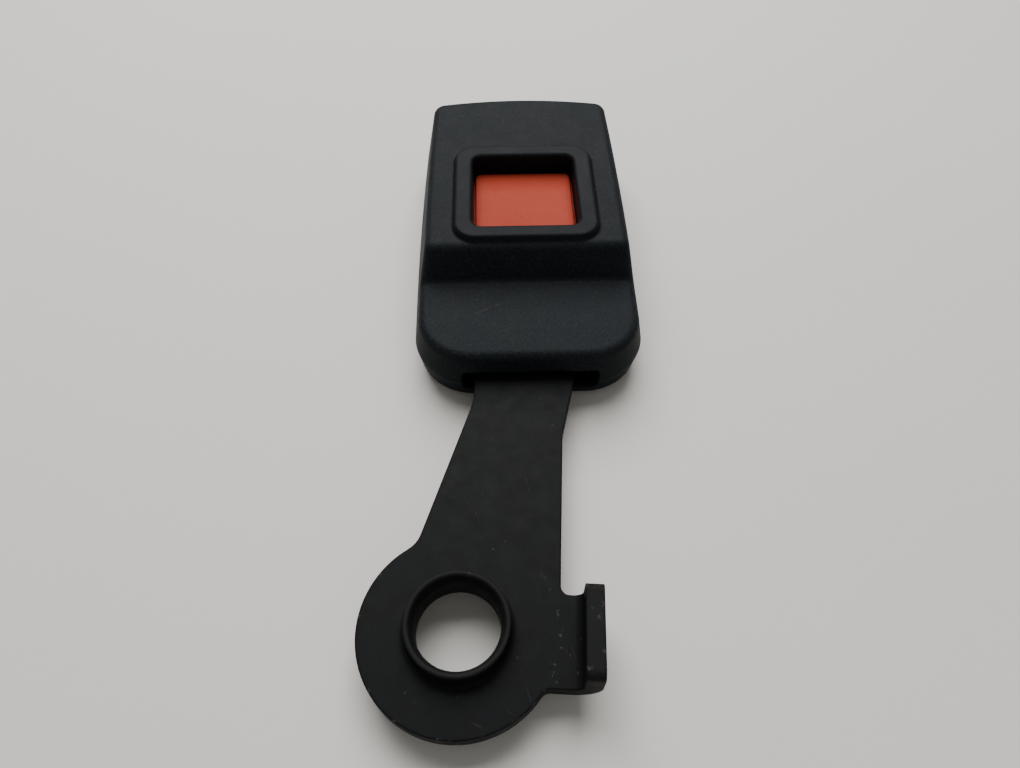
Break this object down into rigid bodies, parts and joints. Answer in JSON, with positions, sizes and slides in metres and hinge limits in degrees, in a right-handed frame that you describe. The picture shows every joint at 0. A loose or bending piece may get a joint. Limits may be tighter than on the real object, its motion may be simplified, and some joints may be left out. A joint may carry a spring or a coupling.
{
  "type": "seat belt buckle",
  "caption": "Push-button seat belt buckle: black two-part head with a square red face button, riveted to a steel anchor strap with a collared bolt hole and a bent locating tab.",
  "frame": {"origin": "centre of the anchor bolt hole at the strap's top face", "axes": "+Z along the bolt hole, up through the collar and the push button; +Y from the bolt hole towards the tongue's mouth, along the head; +X to the right, towards the bent tab"},
  "size_m": [0.0645, 0.173, 0.0255],
  "materials": {
    "black_steel": "satin black coated steel",
    "plated_steel": "zinc plated pressed steel",
    "pin_steel": "ground steel",
    "spring_steel": "drawn spring wire",
    "screw_steel": "black oxide",
    "washer_nylon": "natural nylon",
    "ejector_plastic": "natural acetal",
    "button_red": "red moulded plastic, worn matte",
    "cover_black": "black moulded plastic, fine grain"
  },
  "bodies": {
    "anchor": {"anchor_strap": "black_steel"},
    "head": {"button_spring_left": "spring_steel", "button_spring_right": "spring_steel", "cover_screw_1": "screw_steel", "cover_screw_2": "screw_steel", "cover_screw_3": "screw_steel", "cover_screw_4": "screw_steel", "ejector_spring": "spring_steel", "latch_clip_left": "pin_steel", "latch_clip_right": "pin_steel", "latch_frame": "plated_steel", "latch_pin": "pin_steel", "latch_spring": "spring_steel", "lower_cover": "cover_black", "lower_swivel_washer": "washer_nylon", "swivel_rivet": "plated_steel", "upper_cover": "cover_black", "upper_swivel_washer": "washer_nylon"},
    "button": {"press_button": "button_red"},
    "latch": {"latch_lever": "plated_steel"},
    "ejector": {"ejector": "ejector_plastic"}
  },
  "joints": [
    {"name": "head_swivel", "type": "hinge", "parent": "anchor", "child": "head", "pos_m": [0.0164, 0.076, 0], "axis": [0, 0, 1], "range_deg": [-16, 9]},
    {"name": "button_press", "type": "slide", "parent": "head", "child": "button", "axis": [0, 0, -1], "range_m": [0, 0.003], "stiffness_N_per_m": 900, "springref_m": -0.001, "deforming": ["button_spring_left", "button_spring_right"]},
    {"name": "latch_pivot", "type": "hinge", "parent": "head", "child": "latch", "pos_m": [0.0164, 0.0935, -0.0026], "axis": [-1, 0, 0], "range_deg": [0, 8.25], "stiffness_Nm_per_rad": 0.06, "springref_deg": -2.86, "deforming": ["latch_spring"]},
    {"name": "ejector_slide", "type": "slide", "parent": "head", "child": "ejector", "axis": [0, -1, 0], "range_m": [0, 0.007], "stiffness_N_per_m": 400, "springref_m": -0.001, "deforming": ["ejector_spring"]}
  ],
  "couplings": [
    {"joint": "latch_pivot", "follows": "button_press", "rad_per_m": 47.7}
  ]
}
